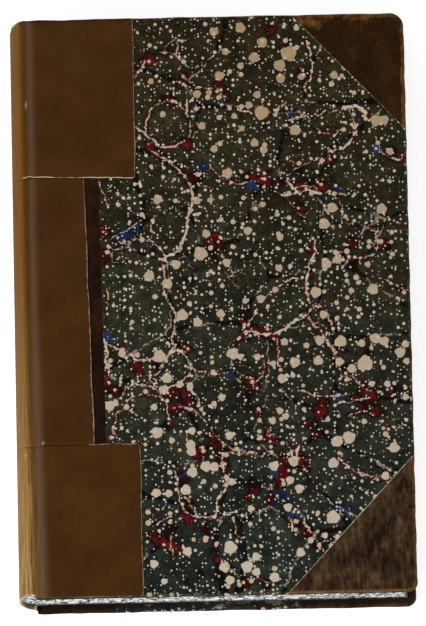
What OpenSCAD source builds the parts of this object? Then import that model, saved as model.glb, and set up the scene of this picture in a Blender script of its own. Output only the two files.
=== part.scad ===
// Antique book in a half-leather binding: marbled paper sides, leather corners, and a spine
// that was mended with brown bookcloth tape.
// It lies on its back cover: spine at -X, fore-edge at +X, head at +Y, front cover up.
// Profiles are drawn from the joint line (u, towards the fore-edge) and the middle plane (v).

/* [Covers] */
// Height of the covers from tail to head, over the covering
cover_h = 240; // [190:1:320]
// Width of a cover from the joint line to the fore-edge, over the covering
cover_w = 154; // [125:0.5:220]
// Thickness of the closed book, over the tape of both covers
book_t = 37; // [28:0.5:60]
// Thickness of a pasteboard
board_t = 2.5; // [1.5:0.1:4]
// Radius of the rubbed fore-edge corners
corner_r = 4; // [1:0.5:8]
// Radius of the blunter head corner of the front cover
blunt_r = 6; // [1:0.5:10]
// Overhang of the covers past the text block at head, tail and fore-edge
square_w = 3.5; // [2:0.25:6]

/* [Covering] */
// Thickness of the pared leather and of the paper on the boards
skin_t = 0.4; // [0.2:0.05:0.8]
// Width of the turned-in covering on the inner face of a board
turn_in = 12; // [8:0.5:20]
// Width of the old leather on a board, from the joint line
leather_w = 28.5; // [26:0.5:40]
// Head corner of the front cover, along the head edge
front_head_leg_w = 46; // [30:1:60]
// Head corner of the front cover, along the fore-edge
front_head_leg_h = 49; // [30:1:60]
// Tail corner of the front cover, along the tail edge
front_tail_leg_w = 52; // [30:1:60]
// Tail corner of the front cover, along the fore-edge
front_tail_leg_h = 56; // [30:1:60]
// Corners of the back cover, along the head and tail edges
back_leg_w = 42; // [30:1:60]
// Corners of the back cover, along the fore-edge
back_leg_h = 46; // [30:1:60]
// Thickness of a pastedown
paste_t = 0.15; // [0.1:0.05:0.4]
// Margin of a pastedown inside the edges of the cover
paste_margin = 4; // [2:0.5:7]

/* [Tape] */
// Thickness of the bookcloth tape
tape_t = 0.35; // [0.2:0.05:0.8]
// Width of the middle strip on a board, from the joint line
strip_w = 23; // [14:0.5:25]
// Width of the head and tail patches on a board, from the joint line
patch_w = 43.5; // [30:0.5:55]
// Height of the head patch
head_patch_h = 66; // [40:1:80]
// Height of the tail patch
tail_patch_h = 63; // [40:1:80]
// Radius of the patch corners beside the strip
patch_r = 1.5; // [0.5:0.25:5]

/* [Spine] */
// Bulge of the rounded spine past the joint lines
spine_bulge = 7; // [5.5:0.5:10]
// Radius of the spine's shoulders, over the tape
shoulder_r = 2.2; // [1.8:0.1:2.8]
// Height that a shoulder stands out from the round where they meet
shoulder_lap = 0.06; // [0.04:0.01:0.1]
// Distance of a shoulder's crest from the joint line
shoulder_in = 1.3; // [0.9:0.1:1.8]
// Drop of the spine's shoulders below the face of the tape on the boards
shoulder_drop = 1.2; // [0.8:0.1:1.6]
// Depth of the joint groove below the face of the tape
groove_depth = 1.6; // [1.2:0.1:2.4]
// Width of the rounded flank from the groove up to the flat of the board
flank_w = 4.2; // [3:0.1:6]
// Distance of a board's spine edge from the joint line
board_gap = 1.6; // [1:0.1:2.5]
// Thickness of the old leather on the spine
spine_leather_t = 0.5; // [0.3:0.1:0.8]
// Thickness of the spine lining
lining_t = 0.3; // [0.2:0.1:0.6]
// Distance by which the spine stops short of the tail edge
spine_short = 2; // [0:0.25:3]
// Number of sewing cords
cord_count = 5; // [3:1:7]
// Diameter of a sewing cord
cord_d = 2; // [1:0.25:3]
// Distance of the end cords from the head and tail of the text block
cord_end = 22; // [12:1:35]
// Share of the round, from its middle to a shoulder, that a cord crosses
cord_reach_share = 0.9; // [0.7:0.05:0.95]

/* [Clearances] */
// Gap between the pieces of a cover and those of the spine at the joint line
hinge_gap = 0.3; // [0.2:0.05:0.5]
// Gap between a pastedown and the text block
block_clear = 0.3; // [0.2:0.05:0.6]
// Gap around a cord in its kerf
cord_clear = 0.1; // [0.05:0.05:0.3]

/* [Hidden] */

$fn = 96;
// Overrun of cuts past the faces that they open
over = 1;
// Run of a corner's diagonal past the edges of the cover, as a share of its legs
run_on_share = 0.1;

half_t = book_t / 2;
half_h = cover_h / 2;
half_gap = hinge_gap / 2;
// The joint line lies where the closed book is centred on the origin
joint_x = (spine_bulge - cover_w) / 2;

// Levels of a cover's layers, from the middle plane out to the tape
skin_v = half_t - tape_t;
board_v = skin_v - skin_t;
inner_v = board_v - board_t;
turn_v = inner_v - skin_t;
paste_v = turn_v - paste_t;
block_v = paste_v - block_clear;

// Radii of a cover's layers on the flank, all about one axis under the start of the flat
flank_run = flank_w - half_gap;
flank_r = (flank_run * flank_run + groove_depth * groove_depth) / (2 * groove_depth);
flank_v = half_t - flank_r;
flank_leather_r = flank_r - tape_t;
flank_board_r = flank_leather_r - skin_t;

// The round of the spine is an arc that runs into a smaller one at each shoulder
shoulder_v = half_t - shoulder_drop - shoulder_r;
bulge_run = spine_bulge - shoulder_r;
spine_u = (shoulder_in * shoulder_in + shoulder_v * shoulder_v - bulge_run * bulge_run)
          / (2 * (bulge_run - shoulder_in));
spine_r = spine_u + spine_bulge;
// Depths of the spine's layers below the face of the tape
leather_depth = tape_t;
lining_depth = leather_depth + spine_leather_t;
back_depth = lining_depth + lining_t;
back_r = spine_r - back_depth;

// Ends of the spine, of the text block and of the patches
spine_tail_y = spine_short - half_h;
block_half_h = half_h - square_w;
head_patch_y = half_h - head_patch_h;
tail_patch_y = tail_patch_h - half_h;
// The hollow of the fore-edge follows the round of the back
fore_u = cover_w - square_w;
hollow_u = fore_u + sqrt(back_r * back_r - block_v * block_v);
// Half the angle of the round between its shoulders
shoulder_angle = atan2(shoulder_v, spine_u + shoulder_in);
cord_angle = cord_reach_share * shoulder_angle;
cord_pitch = 2 * (block_half_h - cord_end) / (cord_count - 1);

paper_colour = "#E6DCC4";
board_colour = "#B09468";
marbled_colour = "#39402F";
leather_colour = "#2A160C";
tape_colour = "#4A2C14";
lining_colour = "#C9BFA8";
cord_colour = "#D8CBA6";

// A profile drawn across the spine, run between two stations along it
module along_spine(tail_y, head_y) {
  translate([joint_x, head_y, half_t])
    rotate([90, 0, 0])
      linear_extrude(height = head_y - tail_y)
        children();
}

// A flat outline run between two levels of the front cover
module plate(low_v, high_v) {
  translate([joint_x, 0, half_t + low_v])
    linear_extrude(height = high_v - low_v)
      children();
}

// An outline run through all the layers of the front cover
module through_cover() {
  plate(turn_v - over, skin_v + over)
    children();
}

// A piece of the front cover laid under the book for the back cover
module back_side() {
  translate([0, 0, book_t])
    mirror([0, 0, 1])
      children();
}

// What a rubbed corner at the head has lost
module corner_loss(inset, radius) {
  translate([cover_w - radius, half_h - radius])
    difference() {
      square(radius + over);
      circle(radius - inset);
    }
}

// What the rounded spine edge of a board leaves out, seen across the spine
module edge_loss() {
  difference() {
    translate([-over, flank_v])
      square([flank_w + over, flank_r + over]);
    translate([flank_w, flank_v])
      circle(flank_board_r);
  }
}

// One layer of a cover's flank, from the groove up to the flat
module flank_layer(inner_r, outer_r) {
  intersection() {
    translate([flank_w, flank_v])
      difference() {
        circle(outer_r);
        circle(inner_r);
      }
    translate([half_gap, flank_v])
      square([flank_run, flank_r + over]);
  }
}

// Outline of a cover, with its fore-edge corners rounded
module cover_outline(inset, spine_edge_u, head_r) {
  difference() {
    translate([spine_edge_u, inset - half_h])
      square([cover_w - inset - spine_edge_u, cover_h - 2 * inset]);
    corner_loss(inset, head_r);
    mirror([0, 1, 0])
      corner_loss(inset, corner_r);
  }
}

// Opening that the turn-ins leave on the inner face of a board
module turn_in_window(spine_edge_u) {
  translate([spine_edge_u, turn_in - half_h])
    square([cover_w - turn_in - spine_edge_u, cover_h - 2 * turn_in]);
}

// Leather and paper together: the face, the wrapped edges and the turn-ins
module covering(head_r) {
  difference() {
    plate(turn_v, skin_v)
      cover_outline(0, board_gap, head_r);
    plate(inner_v, board_v)
      cover_outline(skin_t, board_gap - over, head_r);
    plate(turn_v - over, inner_v)
      turn_in_window(board_gap - over);
    along_spine(-half_h - over, half_h + over)
      edge_loss();
  }
}

// Part of the covering that the old spine leather takes
module leather_region() {
  translate([board_gap - over, -half_h - over])
    square([leather_w - board_gap + over, cover_h + 2 * over]);
}

// Part of the covering that a leather corner takes at the head
module corner_region(leg_w, leg_h) {
  run_w = leg_w * run_on_share;
  run_h = leg_h * run_on_share;
  polygon([[cover_w - leg_w - run_w, half_h + run_h],
           [cover_w + run_w, half_h - leg_h - run_h],
           [cover_w + run_w, half_h + run_h]]);
}

// The same at the tail
module tail_corner_region(leg_w, leg_h) {
  mirror([0, 1, 0])
    corner_region(leg_w, leg_h);
}

// Side of the spine of all that belongs to it at the joint line
module spine_side() {
  translate([-spine_bulge - over, -spine_r - over])
    square([spine_bulge + over - half_gap, 2 * (spine_r + over)]);
}

// Section of the spine inside a face at a given depth: the round and its two shoulders
module spine_section(depth) {
  round_r = spine_r - depth;
  meet_v = round_r * sin(shoulder_angle);
  intersection() {
    union() {
      intersection() {
        translate([spine_u, 0])
          circle(round_r);
        translate([-spine_bulge - over, -meet_v])
          square([spine_bulge + 2 * over, 2 * meet_v]);
      }
      for (side_v = [-shoulder_v, shoulder_v])
        translate([-shoulder_in, side_v])
          circle(shoulder_r + shoulder_lap - depth);
    }
    spine_side();
  }
}

// One layer of the spine, between two depths
module spine_layer(outer_depth, inner_depth) {
  difference() {
    spine_section(outer_depth);
    spine_section(inner_depth);
  }
}

// A ring about the spine's axis, short of the shoulders, from a section at a given height
module spine_ring(at_y) {
  translate([joint_x + spine_u, at_y, half_t])
    rotate([90, 0, 0])
      rotate([0, 0, 180 - cord_angle])
        rotate_extrude(angle = 2 * cord_angle)
          children();
}

// Section of a cord, sunk flush with the back of the text block
module cord_section(diameter) {
  translate([back_r - cord_d / 2, 0])
    circle(d = diameter);
}

// Section of the saw kerf that holds a cord
module kerf_section() {
  kerf_d = cord_d + 2 * cord_clear;
  cord_section(kerf_d);
  translate([back_r - cord_d / 2, -kerf_d / 2])
    square([cord_d / 2 + over, kerf_d]);
}

// Rounded back with its shoulders, flat faces and hollow fore-edge
module block_profile() {
  difference() {
    union() {
      spine_section(back_depth);
      translate([-hinge_gap, -block_v])
        square([fore_u + hinge_gap, 2 * block_v]);
    }
    translate([hollow_u, 0])
      circle(back_r);
  }
}

module text_block() {
  color(paper_colour)
    difference() {
      along_spine(-block_half_h, block_half_h)
        block_profile();
      for (i = [0 : cord_count - 1])
        spine_ring(cord_end - block_half_h + i * cord_pitch)
          kerf_section();
    }
}

module sewing_cords() {
  color(cord_colour)
    for (i = [0 : cord_count - 1])
      spine_ring(cord_end - block_half_h + i * cord_pitch)
        cord_section(cord_d);
}

module spine_lining() {
  color(lining_colour)
    along_spine(turn_in - block_half_h, block_half_h - turn_in)
      spine_layer(lining_depth, back_depth);
}

// The old leather, folded over the ends of the lining at tail and head
module spine_leather() {
  color(leather_colour) {
    along_spine(spine_tail_y, half_h)
      spine_layer(leather_depth, lining_depth);
    along_spine(spine_tail_y, turn_in - block_half_h)
      spine_layer(lining_depth, back_depth);
    along_spine(block_half_h - turn_in, half_h)
      spine_layer(lining_depth, back_depth);
  }
}

module spine_tape(tail_y, head_y) {
  color(tape_colour)
    along_spine(tail_y, head_y)
      spine_layer(0, leather_depth);
}

module spine_head_patch() {
  spine_tape(head_patch_y, half_h);
}

module spine_strip() {
  spine_tape(tail_patch_y, head_patch_y);
}

module spine_tail_patch() {
  spine_tape(spine_tail_y, tail_patch_y);
}

module board(head_r) {
  color(board_colour)
    difference() {
      plate(inner_v, board_v)
        cover_outline(skin_t, board_gap, head_r);
      along_spine(-half_h, half_h)
        edge_loss();
    }
}

// Old leather on the board and over its rounded edge into the joint
module leather_side(head_r) {
  color(leather_colour) {
    intersection() {
      covering(head_r);
      through_cover()
        leather_region();
    }
    along_spine(-half_h, half_h)
      flank_layer(flank_board_r, flank_leather_r);
  }
}

module head_corner(head_r, leg_w, leg_h) {
  color(leather_colour)
    intersection() {
      covering(head_r);
      through_cover()
        corner_region(leg_w, leg_h);
    }
}

module tail_corner(head_r, leg_w, leg_h) {
  color(leather_colour)
    intersection() {
      covering(head_r);
      through_cover()
        tail_corner_region(leg_w, leg_h);
    }
}

module marbled_paper(head_r, head_leg_w, head_leg_h, tail_leg_w, tail_leg_h) {
  color(marbled_colour)
    difference() {
      covering(head_r);
      through_cover()
        leather_region();
      through_cover()
        corner_region(head_leg_w, head_leg_h);
      through_cover()
        tail_corner_region(tail_leg_w, tail_leg_h);
    }
}

// Pastedown, with the infill that levels the opening between the turn-ins
module pastedown() {
  color(paper_colour) {
    plate(paste_v, turn_v)
      translate([board_gap, paste_margin - half_h])
        square([cover_w - paste_margin - board_gap, cover_h - 2 * paste_margin]);
    plate(turn_v, inner_v)
      turn_in_window(board_gap);
  }
}

// Section of the tape on a board: the rounded flank out of the joint, then the flat
module tape_profile(width) {
  flank_layer(flank_leather_r, flank_r);
  translate([flank_w, skin_v])
    square([width - flank_w, tape_t]);
}

// What a patch's corner beside the strip has lost, for a patch that ends at a given height
module patch_loss(end_y) {
  through_tape()
    translate([patch_w - patch_r, end_y + patch_r])
      difference() {
        translate([0, -patch_r - over])
          square([patch_r + over, patch_r + over]);
        circle(patch_r);
      }
}

// An outline run through the tape
module through_tape() {
  plate(skin_v - over, half_t + over)
    children();
}

module head_patch() {
  color(tape_colour)
    difference() {
      along_spine(head_patch_y, half_h)
        tape_profile(patch_w);
      patch_loss(head_patch_y);
    }
}

module spine_strip_side() {
  color(tape_colour)
    along_spine(tail_patch_y, head_patch_y)
      tape_profile(strip_w);
}

module tail_patch() {
  color(tape_colour)
    difference() {
      along_spine(-half_h, tail_patch_y)
        tape_profile(patch_w);
      mirror([0, 1, 0])
        patch_loss(-tail_patch_y);
    }
}

module front_board() {
  board(blunt_r);
}

module front_leather_side() {
  leather_side(blunt_r);
}

module front_head_corner() {
  head_corner(blunt_r, front_head_leg_w, front_head_leg_h);
}

module front_tail_corner() {
  tail_corner(blunt_r, front_tail_leg_w, front_tail_leg_h);
}

module front_marbled_paper() {
  marbled_paper(blunt_r, front_head_leg_w, front_head_leg_h, front_tail_leg_w, front_tail_leg_h);
}

module front_pastedown() {
  pastedown();
}

module front_head_patch() {
  head_patch();
}

module front_spine_strip() {
  spine_strip_side();
}

module front_tail_patch() {
  tail_patch();
}

module back_board() {
  back_side()
    board(corner_r);
}

module back_leather_side() {
  back_side()
    leather_side(corner_r);
}

module back_head_corner() {
  back_side()
    head_corner(corner_r, back_leg_w, back_leg_h);
}

module back_tail_corner() {
  back_side()
    tail_corner(corner_r, back_leg_w, back_leg_h);
}

module back_marbled_paper() {
  back_side()
    marbled_paper(corner_r, back_leg_w, back_leg_h, back_leg_w, back_leg_h);
}

module back_pastedown() {
  back_side()
    pastedown();
}

module back_head_patch() {
  back_side()
    head_patch();
}

module back_spine_strip() {
  back_side()
    spine_strip_side();
}

module back_tail_patch() {
  back_side()
    tail_patch();
}

text_block();
sewing_cords();
spine_lining();
spine_leather();
spine_head_patch();
spine_strip();
spine_tail_patch();
front_board();
front_leather_side();
front_head_corner();
front_tail_corner();
front_marbled_paper();
front_pastedown();
front_head_patch();
front_spine_strip();
front_tail_patch();
back_board();
back_leather_side();
back_head_corner();
back_tail_corner();
back_marbled_paper();
back_pastedown();
back_head_patch();
back_spine_strip();
back_tail_patch();
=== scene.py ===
import math

import bmesh
import bpy
import numpy as np
from mathutils import Matrix, Vector


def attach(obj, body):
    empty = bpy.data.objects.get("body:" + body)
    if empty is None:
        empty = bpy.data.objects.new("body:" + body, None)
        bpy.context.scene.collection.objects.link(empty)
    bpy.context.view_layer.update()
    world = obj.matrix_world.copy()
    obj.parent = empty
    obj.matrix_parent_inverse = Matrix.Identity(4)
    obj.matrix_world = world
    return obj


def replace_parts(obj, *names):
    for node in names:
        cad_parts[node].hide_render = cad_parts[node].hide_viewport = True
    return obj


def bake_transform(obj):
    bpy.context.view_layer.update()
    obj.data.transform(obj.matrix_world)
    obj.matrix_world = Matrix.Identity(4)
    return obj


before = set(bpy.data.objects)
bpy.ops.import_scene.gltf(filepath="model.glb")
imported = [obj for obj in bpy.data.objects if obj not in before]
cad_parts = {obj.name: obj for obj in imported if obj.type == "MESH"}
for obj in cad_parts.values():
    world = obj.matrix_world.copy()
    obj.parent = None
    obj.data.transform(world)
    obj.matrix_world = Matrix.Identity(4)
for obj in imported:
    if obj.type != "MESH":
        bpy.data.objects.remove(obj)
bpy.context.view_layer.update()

# Sizes of the book in millimetres, as in its construction.
# u runs from the joint to the fore-edge, y from tail to head, v up from the middle of the thickness.
MM = 0.001
JOINT_X = -73.5
HALF_T = 18.5
HALF_H = 120.0
COVER_W = 154.0
CORNER_R = 4.0
BLUNT_R = 6.0
TAPE_V = 18.5
SKIN_V = 18.15
TURN_V = 14.85
PASTE_V = 14.7
BLOCK_V = 14.4
BLOCK_H = 116.5
FORE_U = 150.5
LEATHER_W = 28.5
FRONT_HEAD_LEGS = (46.0, 49.0)
FRONT_TAIL_LEGS = (52.0, 56.0)
BACK_LEGS = (42.0, 46.0)
STRIP_W = 23.0
PATCH_W = 43.5
HEAD_PATCH_Y = 54.0
TAIL_PATCH_Y = -57.0
SPINE_TAIL_Y = -118.0
EDGE_GAP = 0.6
TAPE_T = 0.35
FLANK_W = 4.2
FLANK_R = 5.926
SPINE_R = 36.514
SPINE_U = 29.514
SHOULDER_R = 2.26
SHOULDER_IN = 1.3
SHOULDER_V = 15.1
SHOULDER_ANGLE = math.atan2(SHOULDER_V, SPINE_U + SHOULDER_IN)
GROOVE_V = 16.8
GROOVE_HALF = 0.15
SPINE_LAYERS = 1.15
BACK_R = SPINE_R - SPINE_LAYERS
PASTE_MARGIN = 4.0
BOARD_GAP = 1.6


# Shader nodes

def linear(code):
    """A colour written as on a screen, in the linear values that shaders take."""
    parts = [int(code[i:i + 2], 16) / 255 for i in (1, 3, 5)]
    return [p / 12.92 if p <= 0.04045 else ((p + 0.055) / 1.055) ** 2.4 for p in parts] + [1.0]


def add(tree, kind, inputs=None, stops=None, **settings):
    """Adds a shader node. Inputs are values or other nodes' sockets, stops are a ramp's colours."""
    node = tree.nodes.new("ShaderNode" + kind)
    for name, value in settings.items():
        setattr(node, name, value)
    for name, value in (inputs or {}).items():
        if isinstance(value, bpy.types.NodeSocket):
            tree.links.new(value, node.inputs[name])
        elif isinstance(value, str):
            node.inputs[name].default_value = linear(value)
        else:
            node.inputs[name].default_value = value
    if stops:
        elements = node.color_ramp.elements
        while len(elements) < len(stops):
            elements.new(1.0)
        for element, (place, code) in zip(elements, stops):
            element.position = place
            element.color = linear(code)
    return node


def noise(tree, place, size, detail, rough=0.5, twist=0.0):
    """Noise with clouds of the given size, in the units of the place."""
    inputs = {"Vector": place, "Scale": 1 / size, "Detail": detail, "Roughness": rough, "Distortion": twist}
    return add(tree, "TexNoise", inputs).outputs[0]


def ranged(tree, value, start, end, low=0.0, high=1.0, soft=False):
    """Carries a value from one range to another and stops at its ends, with a soft start and end if asked."""
    inputs = {0: value, 1: start, 2: end, 3: low, 4: high}
    return add(tree, "MapRange", inputs, interpolation_type="SMOOTHSTEP" if soft else "LINEAR").outputs[0]


def maths(tree, operation, *values):
    """Works out one number from others."""
    return add(tree, "Math", dict(enumerate(values)), operation=operation).outputs[0]


def toned(tree, value, *stops):
    """A colour picked along a ramp."""
    return add(tree, "ValToRGB", {0: value}, stops=stops).outputs[0]


def mixed(tree, share, under, over):
    """One colour laid over another by a share."""
    return add(tree, "MixRGB", {0: share, 1: under, 2: over}).outputs[0]


def shaded(tree, colour, shade):
    """A colour made darker or lighter by a factor."""
    return add(tree, "MixRGB", {0: 1.0, 1: colour, 2: shade}, blend_type="MULTIPLY").outputs[0]


def drawn_out(tree, place, scale):
    """Places squeezed along some axes, so that a pattern on them is drawn out there."""
    return add(tree, "Mapping", {"Vector": place, "Scale": scale}).outputs[0]


def split_up(tree, vector):
    """The three numbers of a vector."""
    return add(tree, "SeparateXYZ", {0: vector}).outputs[:]


def mark_vector(tree, name):
    """A vector that the piece itself carries."""
    return add(tree, "Attribute", attribute_name=name).outputs["Vector"]


def mark_values(tree, *names):
    """Numbers that the piece itself carries."""
    return [add(tree, "Attribute", attribute_name=name).outputs["Fac"] for name in names]


def object_place(tree):
    """The place on the piece, in metres."""
    return add(tree, "TexCoord").outputs["Object"]


def new_material(name):
    """An empty material and the node tree to fill."""
    material = bpy.data.materials.new(name)
    material.use_nodes = True
    material.node_tree.nodes.clear()
    return material, material.node_tree


def close_material(tree, colour, roughness, height, depth, finish=None):
    """Joins a colour, a roughness and a height in millimetres to the material's surface."""
    bump = add(tree, "Bump", {"Height": height, "Distance": depth * MM, "Strength": 1.0})
    inputs = {"Base Color": colour, "Roughness": roughness, "Normal": bump.outputs[0]}
    inputs.update(finish or {})
    surface = add(tree, "BsdfPrincipled", inputs)
    add(tree, "OutputMaterial", {0: surface.outputs[0]})


# Shapes

def grid_flat(u_range, y_range, cell_u, cell_y):
    """A flat sheet in millimetres, as a grid of cells."""
    bm = bmesh.new()
    (u0, u1), (y0, y1) = u_range, y_range
    middle = Matrix.Translation(((u0 + u1) / 2, (y0 + y1) / 2, 0))
    bmesh.ops.create_grid(bm, x_segments=max(1, round((u1 - u0) / cell_u)),
                          y_segments=max(1, round((y1 - y0) / cell_y)), size=0.5,
                          matrix=middle @ Matrix.Diagonal((u1 - u0, y1 - y0, 1, 1)))
    return bm


def cut_flat(bm, point, normal):
    """Cuts away what lies on the normal's side of a line across a flat sheet."""
    bmesh.ops.bisect_plane(bm, geom=bm.verts[:] + bm.edges[:] + bm.faces[:], dist=1e-6,
                           plane_co=(*point, 0), plane_no=(*normal, 0), clear_outer=True)


def flat_points(mesh):
    """The mesh's points as an array."""
    points = np.empty(len(mesh.vertices) * 3)
    mesh.vertices.foreach_get("co", points)
    return points.reshape(-1, 3)


def make_piece(name, bm, fold, materials, side=1, marks=None, smooth=True, inside_out=False):
    """Folds a flat sheet into its place, keeps the marks worked out on it, and makes the piece."""
    if (side < 0) != inside_out:
        bmesh.ops.reverse_faces(bm, faces=bm.faces[:])
    mesh = bpy.data.meshes.new(name)
    bm.to_mesh(mesh)
    bm.free()
    flat = flat_points(mesh)
    for mark, values in (marks(flat) if marks else {}).items():
        kind, field = ("FLOAT_VECTOR", "vector") if np.ndim(values) == 2 else ("FLOAT", "value")
        layer = mesh.attributes.new(mark, kind, "POINT")
        layer.data.foreach_set(field, np.ascontiguousarray(values, np.float32).ravel())
    u, y, v = fold(flat)
    placed = np.stack([u + JOINT_X, y, side * v + HALF_T], axis=1) * MM
    mesh.vertices.foreach_set("co", placed.astype(np.float32).ravel())
    for material in materials:
        mesh.materials.append(material)
    mesh.polygons.foreach_set("use_smooth", [smooth] * len(mesh.polygons))
    mesh.update()
    return show(name, mesh)


def show(name, data):
    """Puts a mesh, a lamp or a camera into the scene."""
    made = bpy.data.objects.new(name, data)
    bpy.context.scene.collection.objects.link(made)
    return made


WAVER_RATES = (1, 1.7, 2.9, 4.3)


def waver(along, size, wave, seed):
    """A slow uneven line of the given size and wave length, the same at every run."""
    phases = np.random.default_rng(seed).uniform(0, 2 * math.pi, len(WAVER_RATES))
    turns = np.asarray(along) * 2 * math.pi / wave
    return size * sum(np.sin(turns * rate + phase) / rate for rate, phase in zip(WAVER_RATES, phases)) / 2


def slanted(flat, part_u, part_y, size, wave, seed):
    """A waver over a flat sheet, in waves across a slanted direction."""
    return waver(part_u * flat[:, 0] + part_y * flat[:, 1], size, wave, seed)


def hump(along, middle, half):
    """A soft hump of height 1 about a place."""
    return np.exp(-((along - middle) / half) ** 2)


def run_along(line):
    """The length along a line at each of its points."""
    return np.concatenate([[0], np.cumsum(np.hypot(*np.diff(line, axis=0).T))])


# The covering's way round the board's edge: two rounded edges, the wall between them and the part turned in.
EDGE_R = 0.9
EDGE_T = SKIN_V - TURN_V
EDGE_ARC = EDGE_R * math.pi / 2
EDGE_RUN = 2 * EDGE_ARC + EDGE_T - 2 * EDGE_R
TURN_IN = 5.5
OVER_EDGE = EDGE_RUN - EDGE_R + TURN_IN
# Smallest radius that a corner's pleats are drawn in to.
PLEAT_R = 0.3
# Unevenness of the worn outline, its wave length, and how far in from the edge it reaches.
EDGE_WEAR = 0.16
WEAR_WAVE = 31
WEAR_REACH = 3


def edge_distance(u, y, head_r, tail_r, seed):
    """Distance outside the cover's outline, and the outline's direction out."""
    radius = np.where(y > 0, head_r, tail_r)
    q_u = u - (COVER_W - radius)
    q_y = np.abs(y) - (HALF_H - radius)
    corner = (q_u > 0) & (q_y > 0)
    reach = np.hypot(q_u, q_y)
    out = np.where(corner, reach, np.maximum(q_u, q_y)) - radius
    n_u = np.where(corner, q_u / np.maximum(reach, 1e-9), q_u > q_y)
    n_y = np.where(corner, q_y / np.maximum(reach, 1e-9), q_u <= q_y) * np.sign(y)
    worn = waver(u + 1.7 * y, EDGE_WEAR, WEAR_WAVE, seed)
    return out + worn * (out > -WEAR_REACH), n_u, n_y, corner, radius


def fold_cover(face_v, head_r, tail_r, seed):
    """Folds a flat sheet over the rounded edges of a board and in on its other side."""
    def fold(flat):
        u, y = flat[:, 0], flat[:, 1]
        out, n_u, n_y, corner, radius = edge_distance(u, y, head_r, tail_r, seed)
        run = np.maximum(out + EDGE_R, 0)
        first = np.minimum(run, EDGE_ARC) / EDGE_R
        wall = np.clip(run - EDGE_ARC, 0, EDGE_T - 2 * EDGE_R)
        last = np.clip(run - EDGE_ARC - EDGE_T + 2 * EDGE_R, 0, EDGE_ARC) / EDGE_R
        inward = np.maximum(run - EDGE_RUN, 0)
        across = EDGE_R * (np.sin(first) - 1 + np.cos(last)) - inward
        across = np.where(corner, np.maximum(across, PLEAT_R - radius + EDGE_R), across)
        drop = EDGE_R * (1 - np.cos(first)) + wall + EDGE_R * np.sin(last)
        lean = np.maximum(FLANK_W - u, 0)
        flank_r = FLANK_R - TAPE_T
        sunk = flank_r - np.sqrt(np.maximum(flank_r ** 2 - lean ** 2, 0))
        # Turned in, the covering lies flat and stops at the board's edge.
        drop = drop + sunk * (1 - drop / EDGE_T)
        u = u + np.maximum(BOARD_GAP - u, 0) * last * 2 / math.pi
        return u - n_u * (run - across), y - n_y * (run - across), face_v - drop
    return fold


# Step along the tape's section, and how often that is averaged: cloth lies over the joint in a soft curve.
PROFILE_STEP = 0.08
SOFT_PASSES = 300


def arc_points(u, v, radius, start, end):
    """Points along an arc, by its angles in degrees."""
    count = max(2, int(abs(end - start) * math.pi / 180 * radius / PROFILE_STEP))
    angles = np.radians(np.linspace(start, end, count))
    return np.stack([u + radius * np.cos(angles), v + radius * np.sin(angles)], axis=1)


def joint_profile():
    """The face of the tape from the middle of the spine, over its shoulder and the groove, to the board."""
    shoulder = 180 - math.degrees(SHOULDER_ANGLE)
    groove = math.degrees(math.acos((SHOULDER_IN - GROOVE_HALF) / SHOULDER_R))
    flank = 90 + math.degrees(math.asin((FLANK_W - GROOVE_HALF) / FLANK_R))
    line = np.concatenate([
        arc_points(SPINE_U, 0, SPINE_R, 180, shoulder),
        arc_points(-SHOULDER_IN, SHOULDER_V, SHOULDER_R, shoulder, groove),
        np.array([[0.0, GROOVE_V]]),
        arc_points(FLANK_W, TAPE_V - FLANK_R, FLANK_R, flank, 90),
        np.array([[FLANK_W + 1, TAPE_V], [PATCH_W + 2, TAPE_V]])])
    run = run_along(line)
    even = np.arange(0, run[-1], PROFILE_STEP)
    soft = np.stack([np.interp(even, run, line[:, k]) for k in (0, 1)], axis=1)
    for _ in range(SOFT_PASSES):
        soft[1:-1] = (soft[:-2] + 2 * soft[1:-1] + soft[2:]) / 4
    return even, soft


PROFILE_RUN, PROFILE = joint_profile()
SLOPE = np.gradient(PROFILE, axis=0)
NORMAL = np.stack([-SLOPE[:, 1], SLOPE[:, 0]], axis=1) / np.hypot(*SLOPE.T)[:, None]
# The joint is where the profile, above the spine's side, crosses u = 0.
CROWN = int(np.argmin(np.abs(PROFILE[:, 0]) + 10 * (PROFILE[:, 1] < 10)))
JOINT_RUN = PROFILE_RUN[CROWN]


def run_at(u):
    """The length along the tape from the middle of the spine to a place on the board."""
    beyond = PROFILE_RUN > JOINT_RUN
    return float(np.interp(u, PROFILE[beyond, 0], PROFILE_RUN[beyond]))


def on_profile(run, depth):
    """Places across the joint at a length along the tape and a depth below its face."""
    u, v, n_u, n_v = (np.interp(run, PROFILE_RUN, column)
                      for column in (PROFILE[:, 0], PROFILE[:, 1], NORMAL[:, 0], NORMAL[:, 1]))
    return u - n_u * depth, v - n_v * depth


# Marbling: dark green fields pushed together, veins and stains of other colours where they meet, and cream
# spots sprinkled last. The front paper's was read off the photo, in its pixels.

# Fields, spots and stains: x, y, radius.
GREEN_FIELDS = [
    (201.6, 42.6, 22), (250, 71, 44), (242, 140, 38), (334, 87, 14), (303.7, 148.8, 22), (361, 169, 32),
    (161, 194, 26), (126, 202, 22), (226, 214, 28), (275, 234, 37), (242, 265, 24), (171, 230, 20),
    (348, 232, 16), (389, 267, 29), (287, 302, 22), (142, 296, 24), (206, 292, 31), (361, 306, 31),
    (210, 350, 23), (250, 363, 18), (221, 410, 31), (171.6, 433, 25), (299, 363, 30), (366, 363, 28),
    (283, 430, 21), (357, 433, 31), (251, 468, 18), (203, 489, 18), (243, 496, 16), (341, 463, 30),
    (299, 504, 21), (195, 550, 26), (228, 549, 18), (274, 546, 31), (166, 487, 18), (158, 517, 20),
    (309, 565, 21), (169, 124, 19), (333, 121, 18), (361, 243, 14), (180, 368, 12)]

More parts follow.
